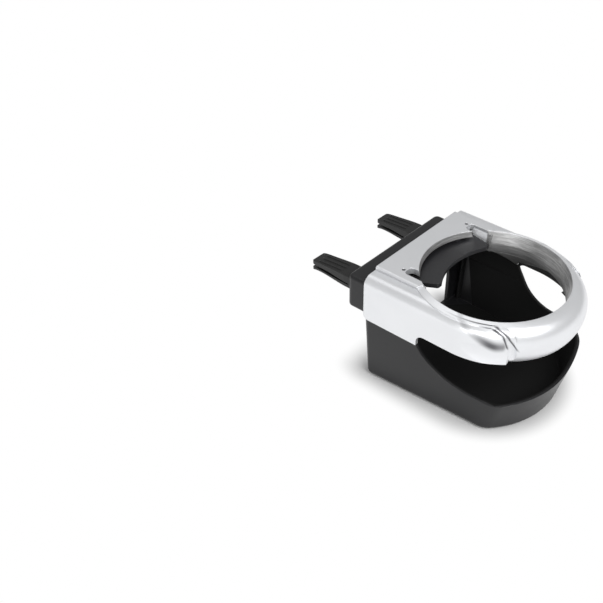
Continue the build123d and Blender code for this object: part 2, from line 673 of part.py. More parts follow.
with BuildPart() as right_vent_clip:
    with BuildSketch(Plane.YZ.offset(right_clip_x - jaw_root_width / 2)):
        add(clip_side())
    extrude(amount=jaw_root_width)
    with BuildSketch(Plane.XY):
        add(clip_plan(right_clip_x))
    extrude(amount=total_height, mode=Mode.INTERSECT)
    with BuildSketch(Plane.XY.offset(slit_height)):
        add(clip_fork(right_clip_x))
    extrude(amount=-slit_height, mode=Mode.SUBTRACT)

right_vent_clip.part.label = "right_vent_clip"
export_step(right_vent_clip.part, "parts/right_vent_clip.step")

# Sprung arm that presses on the cup
with BuildPart() as holding_arm:
    tip_front = rear_face - arm_tip_inset
    tip_outer = slot_outer - arm_tip_outer
    tip_inner = slot_outer - arm_tip_inner
    side_outer = slot_outer - arm_side_outer
    with BuildSketch(Plane.XY.offset(arm_bottom)) as arm_plan:
        with BuildLine():
            back = Polyline((tip_inner, tip_front), (tip_outer, tip_front), (side_outer, tongue_front),
                            (tongue_half, tongue_front), (tongue_half, arm_rear), (-tongue_half, arm_rear),
                            (-tongue_half, tongue_front), (-side_outer, tongue_front),
                            (-tip_outer, tip_front), (-tip_inner, tip_front))
            ThreePointArc(back @ 1, (0, rear_face - arm_apex_inset), back @ 0)
        make_face()
        fillet(arm_plan.vertices().sort_by(Axis.Y)[0:4], radius=arm_round)
        with Locations((spring_x, arm_rear), (-spring_x, arm_rear)):
            Rectangle(lug_width, 2 * (arm_rear - lug_rear), mode=Mode.SUBTRACT)
    extrude(amount=total_height - arm_bottom)
    # sloping top and underside
    flat_start = rear_face - arm_level_inset + (arm_level - arm_thick - arm_bottom + over) / arm_pitch
    with BuildSketch(Plane.YZ.offset(-far)):
        with BuildLine():
            Polyline((0, arm_top(0)), (far, arm_top(far)), (far, total_height + over),
                     (0, total_height + over), close=True)
        make_face()
        with BuildLine():
            Polyline((0, arm_top(0) - arm_thick), (flat_start, arm_bottom - over), (0, arm_bottom - over),
                     close=True)
        make_face()
    extrude(amount=2 * far, mode=Mode.SUBTRACT)
    # lugs and spigots for the springs
    with BuildSketch(Plane.XY.offset(arm_bottom)):
        with Locations((spring_x, lug_rear), (-spring_x, lug_rear)):
            Rectangle(lug_width, lug_thick, align=(Align.CENTER, Align.MAX))
    extrude(amount=lug_height)
    with BuildSketch(Plane.XZ.offset(-lug_rear)):
        with Locations((spring_x, spring_height), (-spring_x, spring_height)):
            Circle(spigot_radius)
    extrude(amount=-spigot_length)

holding_arm.part.label = "holding_arm"
export_step(holding_arm.part, "parts/holding_arm.step")

# Compression springs behind the arm
with BuildPart() as left_arm_spring:
    with BuildLine():
        left_coil = Helix(spring_pitch, spring_pitch * spring_turns, spring_mean_radius,
                          center=(-spring_x, spring_front, spring_height), direction=(0, 1, 0))
    with BuildSketch(Plane(origin=left_coil @ 0, z_dir=left_coil % 0)):
        Circle(spring_wire / 2)
    sweep()

left_arm_spring.part.label = "left_arm_spring"
export_step(left_arm_spring.part, "parts/left_arm_spring.step")

with BuildPart() as right_arm_spring:
    with BuildLine():
        right_coil = Helix(spring_pitch, spring_pitch * spring_turns, spring_mean_radius,
                           center=(spring_x, spring_front, spring_height), direction=(0, 1, 0))
    with BuildSketch(Plane(origin=right_coil @ 0, z_dir=right_coil % 0)):
        Circle(spring_wire / 2)
    sweep()

right_arm_spring.part.label = "right_arm_spring"
export_step(right_arm_spring.part, "parts/right_arm_spring.step")

# Slide-out plate under the floor
with BuildPart() as stabiliser_plate:
    with BuildSketch(Plane.XY.offset(plate_bottom)):
        with Locations((0, plate_rear)):
            Rectangle(plate_width, plate_length, align=(Align.CENTER, Align.MAX))
    extrude(amount=plate_thick)
    fillet(stabiliser_plate.edges().filter_by(Axis.Z).sort_by(Axis.Y)[-2:], radius=plate_corner_round)
    with BuildSketch(Plane.XY.offset(plate_bottom + plate_thick)):
        with Locations((0, plate_rear - plate_lip)):
            RectangleRounded(plate_width - 2 * plate_lip, plate_length - 2 * plate_lip, plate_lip,
                             align=(Align.CENTER, Align.MAX))
    extrude(amount=-plate_recess, mode=Mode.SUBTRACT)

stabiliser_plate.part.label = "stabiliser_plate"
export_step(stabiliser_plate.part, "parts/stabiliser_plate.step")

# Screws that hold the cover to the deck
with BuildPart() as bezel_screws:
    with BuildSketch(Plane.XY.offset(deck_top - deck_thick)):
        with Locations(*bezel_screw_points):
            Circle(screw_shank / 2)
    extrude(amount=screw_length)
    with BuildSketch(Plane.XY.offset(deck_top - deck_thick)):
        with Locations(*bezel_screw_points):
            Circle(screw_head / 2)
    extrude(amount=-screw_head_height)
    with BuildSketch(Plane.XY.offset(deck_top - deck_thick - screw_head_height)):
        with Locations(*bezel_screw_points):
            Rectangle(screw_cross, screw_drive)
            Rectangle(screw_drive, screw_cross)
    extrude(amount=screw_head_height / 2, mode=Mode.SUBTRACT)

bezel_screws.part.label = "bezel_screws"
export_step(bezel_screws.part, "parts/bezel_screws.step")

# Screws that hold the clip box to the rear wall
with BuildPart() as box_screws:
    with BuildSketch(Plane.XZ.offset(-wall_inner_y)):
        with Locations(*[(0, h) for h in box_screw_heights]):
            Circle(screw_shank / 2)
    extrude(amount=-screw_length)
    with BuildSketch(Plane.XZ.offset(-wall_inner_y)):
        with Locations(*[(0, h) for h in box_screw_heights]):
            Circle(screw_head / 2)
    extrude(amount=screw_head_height)
    with BuildSketch(Plane.XZ.offset(screw_head_height - wall_inner_y)):
        with Locations(*[(0, h) for h in box_screw_heights]):
            Rectangle(screw_cross, screw_drive)
            Rectangle(screw_drive, screw_cross)
    extrude(amount=-screw_head_height / 2, mode=Mode.SUBTRACT)

box_screws.part.label = "box_screws"
export_step(box_screws.part, "parts/box_screws.step")
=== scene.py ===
import json
import math
import bmesh
import bpy
from mathutils import Matrix, Vector


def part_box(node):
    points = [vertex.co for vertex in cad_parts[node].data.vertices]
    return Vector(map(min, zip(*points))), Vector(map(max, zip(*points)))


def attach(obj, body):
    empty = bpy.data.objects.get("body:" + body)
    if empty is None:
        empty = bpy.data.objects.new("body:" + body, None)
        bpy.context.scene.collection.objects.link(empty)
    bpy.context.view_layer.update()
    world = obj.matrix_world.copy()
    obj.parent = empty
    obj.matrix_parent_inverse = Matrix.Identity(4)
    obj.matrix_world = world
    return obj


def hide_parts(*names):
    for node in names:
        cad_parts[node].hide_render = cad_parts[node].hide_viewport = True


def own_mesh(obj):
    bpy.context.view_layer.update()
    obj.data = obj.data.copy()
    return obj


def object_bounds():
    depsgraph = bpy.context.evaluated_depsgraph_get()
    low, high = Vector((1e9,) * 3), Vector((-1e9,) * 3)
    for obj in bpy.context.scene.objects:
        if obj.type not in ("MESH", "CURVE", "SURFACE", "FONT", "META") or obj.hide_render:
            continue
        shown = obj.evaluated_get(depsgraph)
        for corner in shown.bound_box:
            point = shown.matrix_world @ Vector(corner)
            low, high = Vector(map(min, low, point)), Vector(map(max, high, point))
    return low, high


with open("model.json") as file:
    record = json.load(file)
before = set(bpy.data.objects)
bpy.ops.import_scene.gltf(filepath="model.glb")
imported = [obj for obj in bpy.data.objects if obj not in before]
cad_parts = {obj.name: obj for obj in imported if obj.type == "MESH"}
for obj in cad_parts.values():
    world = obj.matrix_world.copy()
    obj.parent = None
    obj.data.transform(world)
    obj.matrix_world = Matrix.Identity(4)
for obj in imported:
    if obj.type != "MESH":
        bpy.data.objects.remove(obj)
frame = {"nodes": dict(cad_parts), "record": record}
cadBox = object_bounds()
print("frame loaded:", len(frame["nodes"]), "nodes")


# shader maths: a wire is one socket, and sums on wires add their nodes
class Wire:
    def __init__(self, tree, socket=None):
        self.tree = tree
        self.socket = socket

    def node(self, kind, settings=None, inputs=None, out=0):
        made = self.tree.nodes.new(kind)
        for name, value in (settings or {}).items():
            setattr(made, name, value)
        for name, value in (inputs or {}).items():
            if isinstance(value, Wire):
                self.tree.links.new(value.socket, made.inputs[name])
            else:
                made.inputs[name].default_value = value
        return Wire(self.tree, made.outputs[out] if made.outputs else None)

    def also(self, out):  # another output of the same node
        return Wire(self.tree, self.socket.node.outputs[out])

    def axes(self):  # x, y and z of a place
        split = self.node("ShaderNodeSeparateXYZ", None, {"Vector": self})
        return split.also("X"), split.also("Y"), split.also("Z")

    def maths(self, operation, first, second=0.0):
        return self.node("ShaderNodeMath", {"operation": operation}, {0: first, 1: second})

    def __add__(self, other):
        return self.maths("ADD", self, other)

    def __radd__(self, other):
        return self.maths("ADD", other, self)

    def __sub__(self, other):
        return self.maths("SUBTRACT", self, other)

    def __rsub__(self, other):
        return self.maths("SUBTRACT", other, self)

    def __mul__(self, other):
        return self.maths("MULTIPLY", self, other)

    def __rmul__(self, other):
        return self.maths("MULTIPLY", other, self)

    def __truediv__(self, other):
        return self.maths("DIVIDE", self, other)

    def __rtruediv__(self, other):
        return self.maths("DIVIDE", other, self)

    def __pow__(self, other):
        return self.maths("POWER", self, other)

    def __abs__(self):
        return self.maths("ABSOLUTE", self)

    def atLeast(self, other):
        return self.maths("MAXIMUM", self, other)

    def atMost(self, other):
        return self.maths("MINIMUM", self, other)

    def dot(self, other):
        return self.node("ShaderNodeVectorMath", {"operation": "DOT_PRODUCT"},
                         {0: self, 1: other}, out="Value")

    def ramp(self, low, high):  # 0 below low, 1 above high, soft between
        return self.node("ShaderNodeMapRange", {"interpolation_type": "SMOOTHSTEP"},
                         {"Value": self, "From Min": low, "From Max": high})

    def mix(self, first, second):  # colours mixed by this wire
        return self.node("ShaderNodeMix", {"data_type": "RGBA"}, {0: self, 6: first, 7: second}, out=2)


noiseMean = 0.5  # noise runs from 0 to 1


def startMaterial(name):
    material = bpy.data.materials.new(name)
    material.use_nodes = True
    material.node_tree.nodes.clear()
    return material, Wire(material.node_tree)


def noise(sheet, vector, scale, detail=2.0, roughness=0.5):
    return sheet.node("ShaderNodeTexNoise", None,
                      {"Vector": vector, "Scale": scale, "Detail": detail, "Roughness": roughness})


def softEdge(sheet, radius):
    return sheet.node("ShaderNodeBevel", {"samples": 6}, {"Radius": radius})


def relief(sheet, height, strength, edge=None):  # heights in metres, over a softened edge
    inputs = {"Height": height, "Strength": strength, "Distance": 1.0}
    if edge:
        inputs["Normal"] = edge
    return sheet.node("ShaderNodeBump", None, inputs)


def closeMaterial(sheet, inputs, inner=None, share=None):
    surface = sheet.node("ShaderNodeBsdfPrincipled", None, inputs)
    if inner:  # a second finish where share is 1
        second = sheet.node("ShaderNodeBsdfPrincipled", None, inner)
        surface = sheet.node("ShaderNodeMixShader", None, {0: share, 1: surface, 2: second})
    sheet.node("ShaderNodeOutputMaterial", None, {"Surface": surface})


# brushed band round the inside of the ring, made darker lower down with painted shade
brushLook = {
    "colour": (0.66, 0.66, 0.66, 1), "shade": (0.38, 0.38, 0.38, 1), "deep": (0.10, 0.10, 0.10, 1),
    "low": 0.0490, "high": 0.0615, "throat": 0.0368, "metallic": 0.78, "roughness": 0.42,
    "scale": 1500, "stretch": 0.003, "detail": 3.0, "grit": 0.6, "spread": (0.3, 0.7), "depth": 0.00008,
}


def brushedRing(sheet, x, y, z, radius, look):
    turn = sheet.maths("ARCTAN2", y, x) * look["stretch"]
    place = sheet.node("ShaderNodeCombineXYZ", None, {"X": turn, "Y": z, "Z": radius})
    brush = noise(sheet, place, look["scale"], look["detail"], look["grit"])
    streaks = brush.ramp(*look["spread"]).mix(look["colour"], look["shade"])
    # the deep colour lower down is painted shade
    return brush, z.ramp(look["low"], look["high"]).mix(look["deep"], streaks)


# soft hollow in each shoulder's nose, sunk by bump and darkened with painted shade, by degrees from the nose
# and height
hollowLook = {
    "start": 50.0, "middle": 57.5, "end": 92.0, "fadeIn": 3.0, "fadeOut": 14.0,
    "height": 0.0538, "climb": 0.00037, "dip": 0.00018, "bend": 3.0,
    "half": 0.0040, "taper": 0.8, "soft": (0.1, 1.1), "depth": 0.0006,
    "gain": 0.25, "gainRange": (53.0, 59.0), "loss": 0.62, "lossRange": (60.0, 73.0),
}


def noseHollow(angle, z, look):
    lean = angle - look["middle"]
    bent = (lean * lean + look["bend"] ** 2) ** 0.5
    slope, turn = (look["climb"] - look["dip"]) / 2, (look["climb"] + look["dip"]) / 2
    middle = look["height"] + lean * slope + bent * turn
    half = look["half"] - angle.ramp(look["middle"], look["end"]) * (look["half"] * look["taper"])
    across = 1 - (abs(z - middle) / half).ramp(*look["soft"])
    first = angle.ramp(look["start"], look["start"] + look["fadeIn"])
    last = 1 - angle.ramp(look["end"] - look["fadeOut"], look["end"])
    grown = (1 - look["gain"]) + angle.ramp(*look["gainRange"]) * look["gain"]
    faded = 1 - angle.ramp(*look["lossRange"]) * look["loss"]
    return across * first * last * grown * faded


# two narrow lines along the crease between the nose and the front band, sunk by bump and darkened with
# painted shade, in degrees and millimetres
creaseLooks = {
    "outer": {"angle": 49.6, "height": 59.0, "lean": 1.0, "leanAbove": 0.0, "bend": 59.0, "curl": 1.0,
              "power": 1.5, "half": 1.2, "widen": 0.25, "low": (52.0, 55.5), "top": (62.9, 63.5)},
    "inner": {"angle": 52.55, "height": 59.0, "lean": 0.5, "leanAbove": 0.5, "bend": 60.0, "curl": 1.2,
              "power": 1.6, "half": 1.0, "widen": 0.35, "low": (52.6, 55.0), "top": (62.4, 62.9)},
}
# their ends along the rim, also sunk and darkened with painted shade, in degrees and metres
rimLooks = {
    "outer": {"radius": 0.03885, "half": 0.00045, "near": (57.5, 59.5), "far": (63.0, 100.0)},
    "inner": {"radius": 0.04020, "half": 0.00045, "near": (59.5, 62.0), "far": (61.0, 73.0)},
}
lineLook = {"soft": (0.1, 1.0), "rimBase": (0.0605, 0.0615), "depth": 0.0003,
            "farFade": 0.9, "farReach": 0.005}
millimetres = 1000.0  # in a metre


def creaseLine(angle, z, look):
    height = z * millimetres
    above = (height - look["bend"]).atLeast(0.0)
    rise = (height - look["height"]).atLeast(0.0) * look["leanAbove"]
    fall = (look["height"] - height).atLeast(0.0) * look["lean"]
    middle = look["angle"] + rise - fall + above ** look["power"] * look["curl"]
    half = look["half"] + above * look["widen"]
    across = 1 - (abs(angle - middle) / half).ramp(*lineLook["soft"])
    return across * height.ramp(*look["low"]) * (1 - height.ramp(*look["top"]))


def rimLine(angle, radius, z, look):
    across = 1 - (abs(radius - look["radius"]) / look["half"]).ramp(*lineLook["soft"])
    along = angle.ramp(*look["near"]) * (1 - angle.ramp(*look["far"]))
    return across * along * z.ramp(*lineLook["rimBase"])


def shoulderLines(angle, radius, x, z, look):
    strongest = creaseLine(angle, z, creaseLooks["outer"]).atLeast(creaseLine(angle, z, creaseLooks["inner"]))
    for rim in rimLooks.values():
        strongest = strongest.atLeast(rimLine(angle, radius, z, rim))
    return strongest * (1 - x.ramp(0.0, look["farReach"]) * look["farFade"])  # fainter on the far side


# back of the front band, left unpainted: faces that look inwards, by degrees from the nose and height
bareLook = {"colour": (0.03, 0.03, 0.03, 1), "turn": 0.004, "end": (108.0, 112.0), "top": (0.0570, 0.0580)}


def bareBack(sheet, place, angle, z, look):
    inward = sheet.node("ShaderNodeNewGeometry", out="Normal").dot(place) * -1.0
    return inward.ramp(0.0, look["turn"]) * (1 - angle.ramp(*look["end"])) * (1 - z.ramp(*look["top"]))


# satin silver paint with fine flake; its deep colour is painted shade in creases, hollows and crease lines
silverLook = {
    "colour": (0.82, 0.83, 0.85, 1), "shade": (0.72, 0.73, 0.75, 1), "deep": (0.13, 0.13, 0.14, 1),
    "metallic": 0.74, "roughness": 0.36, "rim": 0.0372, "soft": 0.0003, "edge": 0.0005, "bump": 0.5,
    "cloudScale": 45, "cloudDetail": 3.0, "cloudSpread": (0.3, 0.7), "cloudShare": 0.25, "cloudRough": 0.05,
    "flakeScale": 5200, "flakeDetail": 1.0, "flakeDepth": 0.00002, "flakeRough": 0.12,
    "cavityReach": 0.0025, "cavityOpen": (0.35, 0.9), "cavityShade": 0.4,
}


def silverPaint(name, look):
    material, sheet = startMaterial("silverPaint." + name)
    place = sheet.node("ShaderNodeTexCoord", out="Object")
    x, y, z = place.axes()
    radius = (x * x + y * y) ** 0.5
    angle = sheet.maths("ARCTAN2", abs(x), y * -1.0) * math.degrees(1)  # from the nose, alike on both sides
    inside = 1 - radius.ramp(brushLook["throat"], brushLook["throat"] + look["soft"])
    outside = radius.ramp(look["rim"], look["rim"] + look["soft"])
    flake = noise(sheet, place, look["flakeScale"], look["flakeDetail"])
    cloud = noise(sheet, place, look["cloudScale"], look["cloudDetail"])
    # streaks: brushed streaks, with painted shade lower down the ring's wall
    brush, streaks = brushedRing(sheet, x, y, z, radius, brushLook)
    hollow = noseHollow(angle, z, hollowLook) * outside
    lines = shoulderLines(angle, radius, x, z, lineLook) * outside
    bare = bareBack(sheet, place, angle, z, bareLook) * outside
    # ambient occlusion darkens creases and steps: painted shade
    clear = sheet.node("ShaderNodeAmbientOcclusion", {"samples": 8, "only_local": True},
                       {"Distance": look["cavityReach"]}, out="AO")
    cavityPaintedShade = (1 - clear.ramp(*look["cavityOpen"])) * look["cavityShade"]
    colour = (cloud.ramp(*look["cloudSpread"]) * look["cloudShare"]).mix(look["colour"], look["shade"])
    # the cover darkens towards deep in cavities, nose hollows and crease lines: painted shade
    colour = cavityPaintedShade.atLeast(hollow).atLeast(lines).mix(inside.mix(colour, streaks), look["deep"])
    colour = bare.mix(colour, bareLook["colour"])
    rough = look["roughness"] + inside * (brushLook["roughness"] - look["roughness"])
    rough = rough + (flake - noiseMean) * look["flakeRough"] + (cloud - noiseMean) * look["cloudRough"]
    metal = (look["metallic"] + inside * (brushLook["metallic"] - look["metallic"])) * (1 - bare)
    height = (flake - noiseMean) * look["flakeDepth"] + inside * (brush - noiseMean) * brushLook["depth"]
    height = height - hollow * hollowLook["depth"] - lines * lineLook["depth"]
    normal = relief(sheet, height, look["bump"], softEdge(sheet, look["edge"]))
    closeMaterial(sheet, {"Base Color": colour, "Metallic": metal, "Roughness": rough, "Normal": normal})
    return material


# black moulded plastic: spark-eroded grain, slightly uneven gloss, edges lightened with a painted highlight
blackLooks = {
    "body": {"colour": (0.010, 0.010, 0.011, 1), "edgeHighlight": (0.035, 0.035, 0.037, 1), "roughness": 0.34,
             "grain": 1500, "depth": 0.00003, "edge": 0.0006, "shine": 0.35, "inside": True},
    "box": {"colour": (0.011, 0.011, 0.012, 1), "edgeHighlight": (0.035, 0.035, 0.037, 1), "roughness": 0.36,
            "grain": 1500, "depth": 0.00003, "edge": 0.0005, "shine": 0.38},
    "arm": {"colour": (0.016, 0.016, 0.018, 1), "edgeHighlight": (0.045, 0.045, 0.047, 1), "roughness": 0.45,
            "grain": 1700, "depth": 0.00003, "edge": 0.0004, "shine": 0.48},
    "clip": {"colour": (0.008, 0.008, 0.008, 1), "edgeHighlight": (0.028, 0.028, 0.029, 1), "roughness": 0.40,
             "grain": 1900, "depth": 0.00002, "edge": 0.0004, "shine": 0.40},
    # ribs darker than the body, as painted shade inside the tray
    "rib": {"colour": (0.008, 0.008, 0.008, 1), "edgeHighlight": (0.030, 0.030, 0.031, 1), "roughness": 0.50,
            "grain": 1500, "depth": 0.00003, "edge": 0.0004, "shine": 0.22},
    "plate": {"colour": (0.012, 0.012, 0.013, 1), "edgeHighlight": (0.040, 0.040, 0.042, 1), "roughness": 0.38,
              "grain": 1500, "depth": 0.00003, "edge": 0.0005, "shine": 0.40},
}
# what every moulding shares
mouldLook = {"grainDetail": 2.0, "grit": 0.6, "grainRough": 0.10, "bump": 0.6, "cloudScale": 60,
             "cloudDetail": 3.0, "cloudRough": 0.14, "highlightTurn": (0.02, 0.25), "highlightLeast": 0.4}

# inside of the tray: a matt finish, its colour darker than the body's as painted shade, between the walls and
# above the base
trayLook = {"base": 0.0055, "rear": 0.0455, "half": 0.038, "halfRise": 0.0794, "halfDraw": 0.052,
            "rearFace": 0.0465, "front": 0.0438, "frontRise": 0.23, "frontCentre": 0.0053, "soft": 0.0004,
            "colour": (0.004, 0.004, 0.004, 1), "roughness": 0.75, "shine": 0.20}


def insideTray(place, look):
    x, y, z = place.axes()
    forward = y - look["frontCentre"]
    side = look["half"] + z * look["halfRise"] - (look["rearFace"] - y) * look["halfDraw"] - abs(x)
    front = look["front"] + z * look["frontRise"] - (x * x + forward * forward) ** 0.5
    nearest = side.atMost(front).atMost(z - look["base"]).atMost(look["rear"] - y)
    return nearest.ramp(0.0, look["soft"])


def blackPlastic(kind, look, mould):
    material, sheet = startMaterial("blackPlastic." + kind)
    place = sheet.node("ShaderNodeTexCoord", out="Object")
    grain = noise(sheet, place, look["grain"], mould["grainDetail"], mould["grit"])
    cloud = noise(sheet, place, mould["cloudScale"], mould["cloudDetail"])
    soft = softEdge(sheet, look["edge"])
    facing = sheet.node("ShaderNodeNewGeometry", out="Normal")
    # edges lighter by the softened edge's turn: a painted highlight, uneven along the edge
    edgeHighlight = (1 - soft.dot(facing)).ramp(*mould["highlightTurn"])
    edgeHighlight = edgeHighlight * (mould["highlightLeast"] + cloud * (1 - mould["highlightLeast"]))
    colour = edgeHighlight.mix(look["colour"], look["edgeHighlight"])
    rough = look["roughness"] + (cloud - noiseMean) * mould["cloudRough"]
    rough = rough + (grain - noiseMean) * mould["grainRough"]
    normal = relief(sheet, grain * look["depth"], mould["bump"], soft)
    outer = {"Base Color": colour, "Roughness": rough, "Normal": normal, "Specular IOR Level": look["shine"]}
    if look.get("inside"):
        # matt inside of the tray, darker as painted shade
        matt = {"Base Color": trayLook["colour"], "Roughness": trayLook["roughness"], "Normal": normal,
                "Specular IOR Level": trayLook["shine"]}
        closeMaterial(sheet, outer, matt, insideTray(place, trayLook))
    else:
        closeMaterial(sheet, outer)
    return material


# bright steel for the springs and screws
steelLooks = {
    "spring": {"colour": (0.55, 0.55, 0.56, 1), "dull": (0.40, 0.40, 0.41, 1), "roughness": 0.28},
    "screw": {"colour": (0.50, 0.50, 0.50, 1), "dull": (0.34, 0.34, 0.33, 1), "roughness": 0.34},
}
steelGrain = {"scale": 900, "detail": 3.0, "spread": (0.35, 0.7), "rough": 0.2, "depth": 0.00002, "bump": 0.4}


def brightSteel(kind, look, grain):
    material, sheet = startMaterial("brightSteel." + kind)
    place = sheet.node("ShaderNodeTexCoord", out="Object")
    cloud = noise(sheet, place, grain["scale"], grain["detail"])
    colour = cloud.ramp(*grain["spread"]).mix(look["colour"], look["dull"])
    rough = look["roughness"] + (cloud - noiseMean) * grain["rough"]
    normal = relief(sheet, cloud * grain["depth"], grain["bump"])
    closeMaterial(sheet, {"Base Color": colour, "Metallic": 1.0, "Roughness": rough, "Normal": normal})
    return material


slotPaint = dict(silverLook, metallic=0.08, roughness=0.40)  # plainer paint beside the ear slots
blackFinish = {kind: blackPlastic(kind, look, mouldLook) for kind, look in blackLooks.items()}
steelFinish = {kind: brightSteel(kind, look, steelGrain) for kind, look in steelLooks.items()}
coverFinish, slotFinish = silverPaint("cover", silverLook), silverPaint("slot", slotPaint)
finishes = {
    "top_bezel": coverFinish,
    "lower_body": blackFinish["body"],
    "clip_box": blackFinish["box"],
    "holding_arm": blackFinish["arm"],
    "left_vent_clip": blackFinish["clip"],
    "right_vent_clip": blackFinish["clip"],
    "stabiliser_plate": blackFinish["plate"],
    "left_arm_spring": steelFinish["spring"],
    "right_arm_spring": steelFinish["spring"],
    "bezel_screws": steelFinish["screw"],
    "box_screws": steelFinish["screw"],
}
for name, piece in frame["nodes"].items():
    piece.data.materials.clear()
    piece.data.materials.append(finishes[name])
print("finishes:", len(bpy.data.materials), "materials")


def skinMesh(name, sections):  # closed sections of equal length, joined in order, with both ends capped
    size, last = len(sections[0]), len(sections) - 1
    vertices = [corner for section in sections for corner in section]
    faces = []
    for row in range(last):
        for k in range(size):
            nextK = (k + 1) % size
            faces.append((row * size + k, row * size + nextK, (row + 1) * size + nextK, (row + 1) * size + k))
    faces.append(tuple(range(size)))
    faces.append(tuple(last * size + k for k in range(size)))
    mesh = bpy.data.meshes.new(name)
    mesh.from_pydata(vertices, [], faces)
    return mesh


def turnOutwards(mesh):
    work = bmesh.new()
    work.from_mesh(mesh)
    bmesh.ops.recalc_face_normals(work, faces=work.faces)
    work.to_mesh(mesh)
    work.free()


def addObject(name, data):
    piece = bpy.data.objects.new(name, data)
    bpy.context.collection.objects.link(piece)
    return piece


def housingPiece(name, sections, material):
    mesh = skinMesh(name, sections)
    mesh.materials.append(material)
    turnOutwards(mesh)
    piece = addObject(name, mesh)
    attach(piece, "housing")
    return piece


# sleeve inside the ring: its wall reaches lower at the sides and slopes up to the arm's passage
sleeveLook = {"inner": 0.03555, "outer": 0.03735, "skin": 0.0357, "top": 0.0574, "ledge": 0.05195,
              "ledgeGap": 0.0006, "bevel": 0.0004, "low": 0.0484, "climb": 0.19,
              "notch": (0.0055, 0.0075, 0.0466), "slope": (0.0195, 0.0520),
              "reach": 125.0, "steps": 180, "sharp": 25.0}


def sleeveFoot(y, look):
    near, far, deep = look["notch"]
    end, high = look["slope"]
    if y < near:  # rises again towards the nose
        return min(look["low"] + look["climb"] * (near - y), high)
    if y < far:
        return look["low"] + (deep - look["low"]) * (y - near) / (far - near)
    return min(deep + (high - deep) * (y - far) / (end - far), high)


def ringSleeve(look):
    sections = []
    for step in range(look["steps"] + 1):
        angle = math.radians(look["reach"]) * (2 * step / look["steps"] - 1)
        across, ahead = math.sin(angle), -math.cos(angle)
        foot = sleeveFoot(ahead * look["inner"], look)
        ledge = max(look["ledge"], foot + look["ledgeGap"])
        section = [(look["inner"], look["top"]), (look["inner"], foot + look["bevel"]),
                   (look["inner"] + look["bevel"], foot), (look["outer"] - look["bevel"], foot),
                   (look["outer"], foot + look["bevel"]), (look["outer"], ledge),
                   (look["skin"], ledge), (look["skin"], look["top"])]
        sections.append([(r * across, r * ahead, z) for r, z in section])
    sleeve = housingPiece("ringSleeve", sections, coverFinish)
    for face in sleeve.data.polygons:
        face.use_smooth = len(face.vertices) == 4  # the end caps stay flat
    sleeve.data.set_sharp_from_angle(angle=math.radians(look["sharp"]))


# walls beside the ear slots, from the ring's wall back to the arm's guides
slotWallLook = {"face": 0.02878, "back": 0.0304, "front": 0.0205, "rear": 0.0336,
                "low": 0.0557, "top": 0.0622, "corner": 0.0004}


def slotWalls(look):
    low, corner = look["low"], look["corner"]
    outline = [(look["face"], low + corner), (look["face"] + corner, low), (look["back"], low),
               (look["back"], look["top"]), (look["face"], look["top"])]
    for name, side in (("leftSlotWall", -1), ("rightSlotWall", 1)):
        sections = [[(side * x, y, z) for x, z in outline] for y in (look["front"], look["rear"])]
        housingPiece(name, sections, slotFinish)


# upright ribs in the rear corners of the tray, leaning with its side walls
cornerRibLook = {"front": 0.0405, "rear": 0.0422, "reach": 0.0022, "foot": 0.0064, "top": 0.0355,
                 "wall": 0.0371, "lean": 0.0794, "draw": 0.052, "wallRear": 0.0465,
                 "round": 0.0005, "sunk": 0.0008}


def cornerRibs(look):
    for name, side in (("leftCornerRib", -1), ("rightCornerRib", 1)):
        sections = []
        for z in (look["foot"], look["top"]):
            wall = look["wall"] + z * look["lean"] - (look["wallRear"] - look["front"]) * look["draw"]
            tip = wall - look["reach"]
            outline = [(wall + look["sunk"], look["front"]), (tip + look["round"], look["front"]),
                       (tip, look["front"] + look["round"]), (tip, look["rear"] - look["round"]),
                       (tip + look["round"], look["rear"]), (wall + look["sunk"], look["rear"])]
            sections.append([(side * x, y, z) for x, y in outline])
        housingPiece(name, sections, blackFinish["rib"])


ringSleeve(sleeveLook)
slotWalls(slotWallLook)
cornerRibs(cornerRibLook)
print("walls and ribs added")


# springs behind the arm, as smooth-shaded copies with merged corners in place of the hidden originals
springLook = {"joint": "arm_slide", "merge": 0.000001}


def armSprings(look):
    joint = next(j for j in frame["record"]["behaviour"]["joints"] if j["name"] == look["joint"])
    low, high = joint["range_m"]
    for row in joint["deforming_nodes"]:
        node, fixedEnd = row["node"], row["fixed_end_y_m"]
        mesh = frame["nodes"][node].data.copy()
        work = bmesh.new()
        work.from_mesh(mesh)
        bmesh.ops.remove_doubles(work, verts=work.verts, dist=look["merge"])
        work.to_mesh(mesh)
        work.free()
        mesh.shade_smooth()
        piece = addObject(node + ".coil", mesh)
        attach(piece, "housing")
        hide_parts(node)
        near, far = (Vector(corner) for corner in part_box(node))
        anchor = (near + far) / 2
        anchor.y = fixedEnd
        1 - (high - low) / (fixedEnd - near.y)
        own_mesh(piece)


armSprings(springLook)
print("springs set")

# long ribs on top of each vent clip's upper jaw, with ends that run out into the jaw
clipRibLook = {"count": 3, "spacing": 0.0029, "width": 0.0011, "crown": 0.0006, "height": 0.00035,
               "sunk": 0.0002, "start": 0.0060, "end": 0.0032, "steps": 24, "runOut": 2, "buried": 0.9,
               "castFrom": 0.01}


